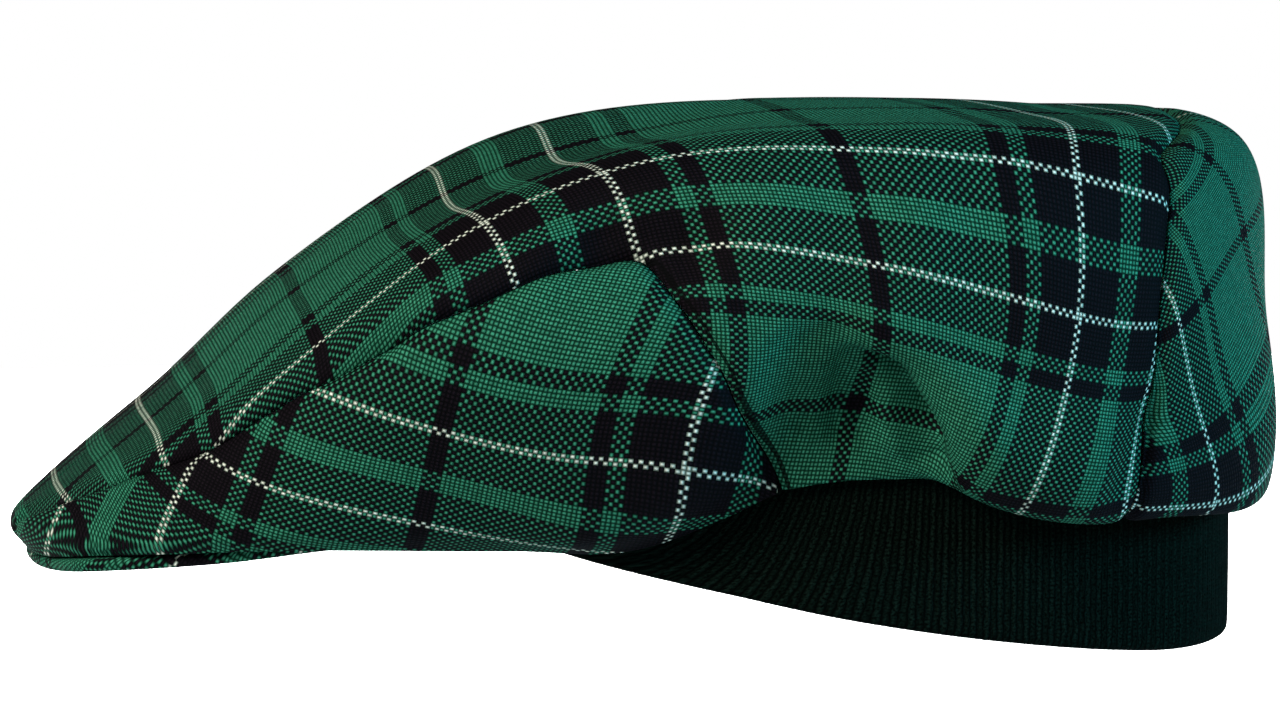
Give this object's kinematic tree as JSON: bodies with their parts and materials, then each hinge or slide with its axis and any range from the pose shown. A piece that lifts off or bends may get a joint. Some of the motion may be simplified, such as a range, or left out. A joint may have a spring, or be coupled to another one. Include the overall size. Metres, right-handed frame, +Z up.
{
  "type": "flat cap with ear band",
  "caption": "Soft flat cap in checked plain-weave cloth with a covered peak, side and back panels and a ribbed knit ear band below the rim.",
  "frame": {"origin": "middle of the head opening, level with the wearer's brow, where the head fills the cap", "axes": "+Z up through the crown, -Y out along the peak, +X to the wearer's left"},
  "size_m": [0.214, 0.2926, 0.1247],
  "materials": {
    "tartan_crown": "plain-weave tartan in green, black and white",
    "tartan_side": "plain-weave tartan in green, black and white",
    "tartan_back": "plain-weave tartan in green, black and white, cut on the bias",
    "tartan_peak": "plain-weave tartan over a stiff peak, topstitched",
    "rib_knit": "dark green rib knit"
  },
  "bodies": {
    "root": {"crown": "tartan_crown", "side_panel_left": "tartan_side", "side_panel_right": "tartan_side", "back_panel": "tartan_back", "peak": "tartan_peak", "ear_band": "rib_knit"}
  },
  "joints": []
}
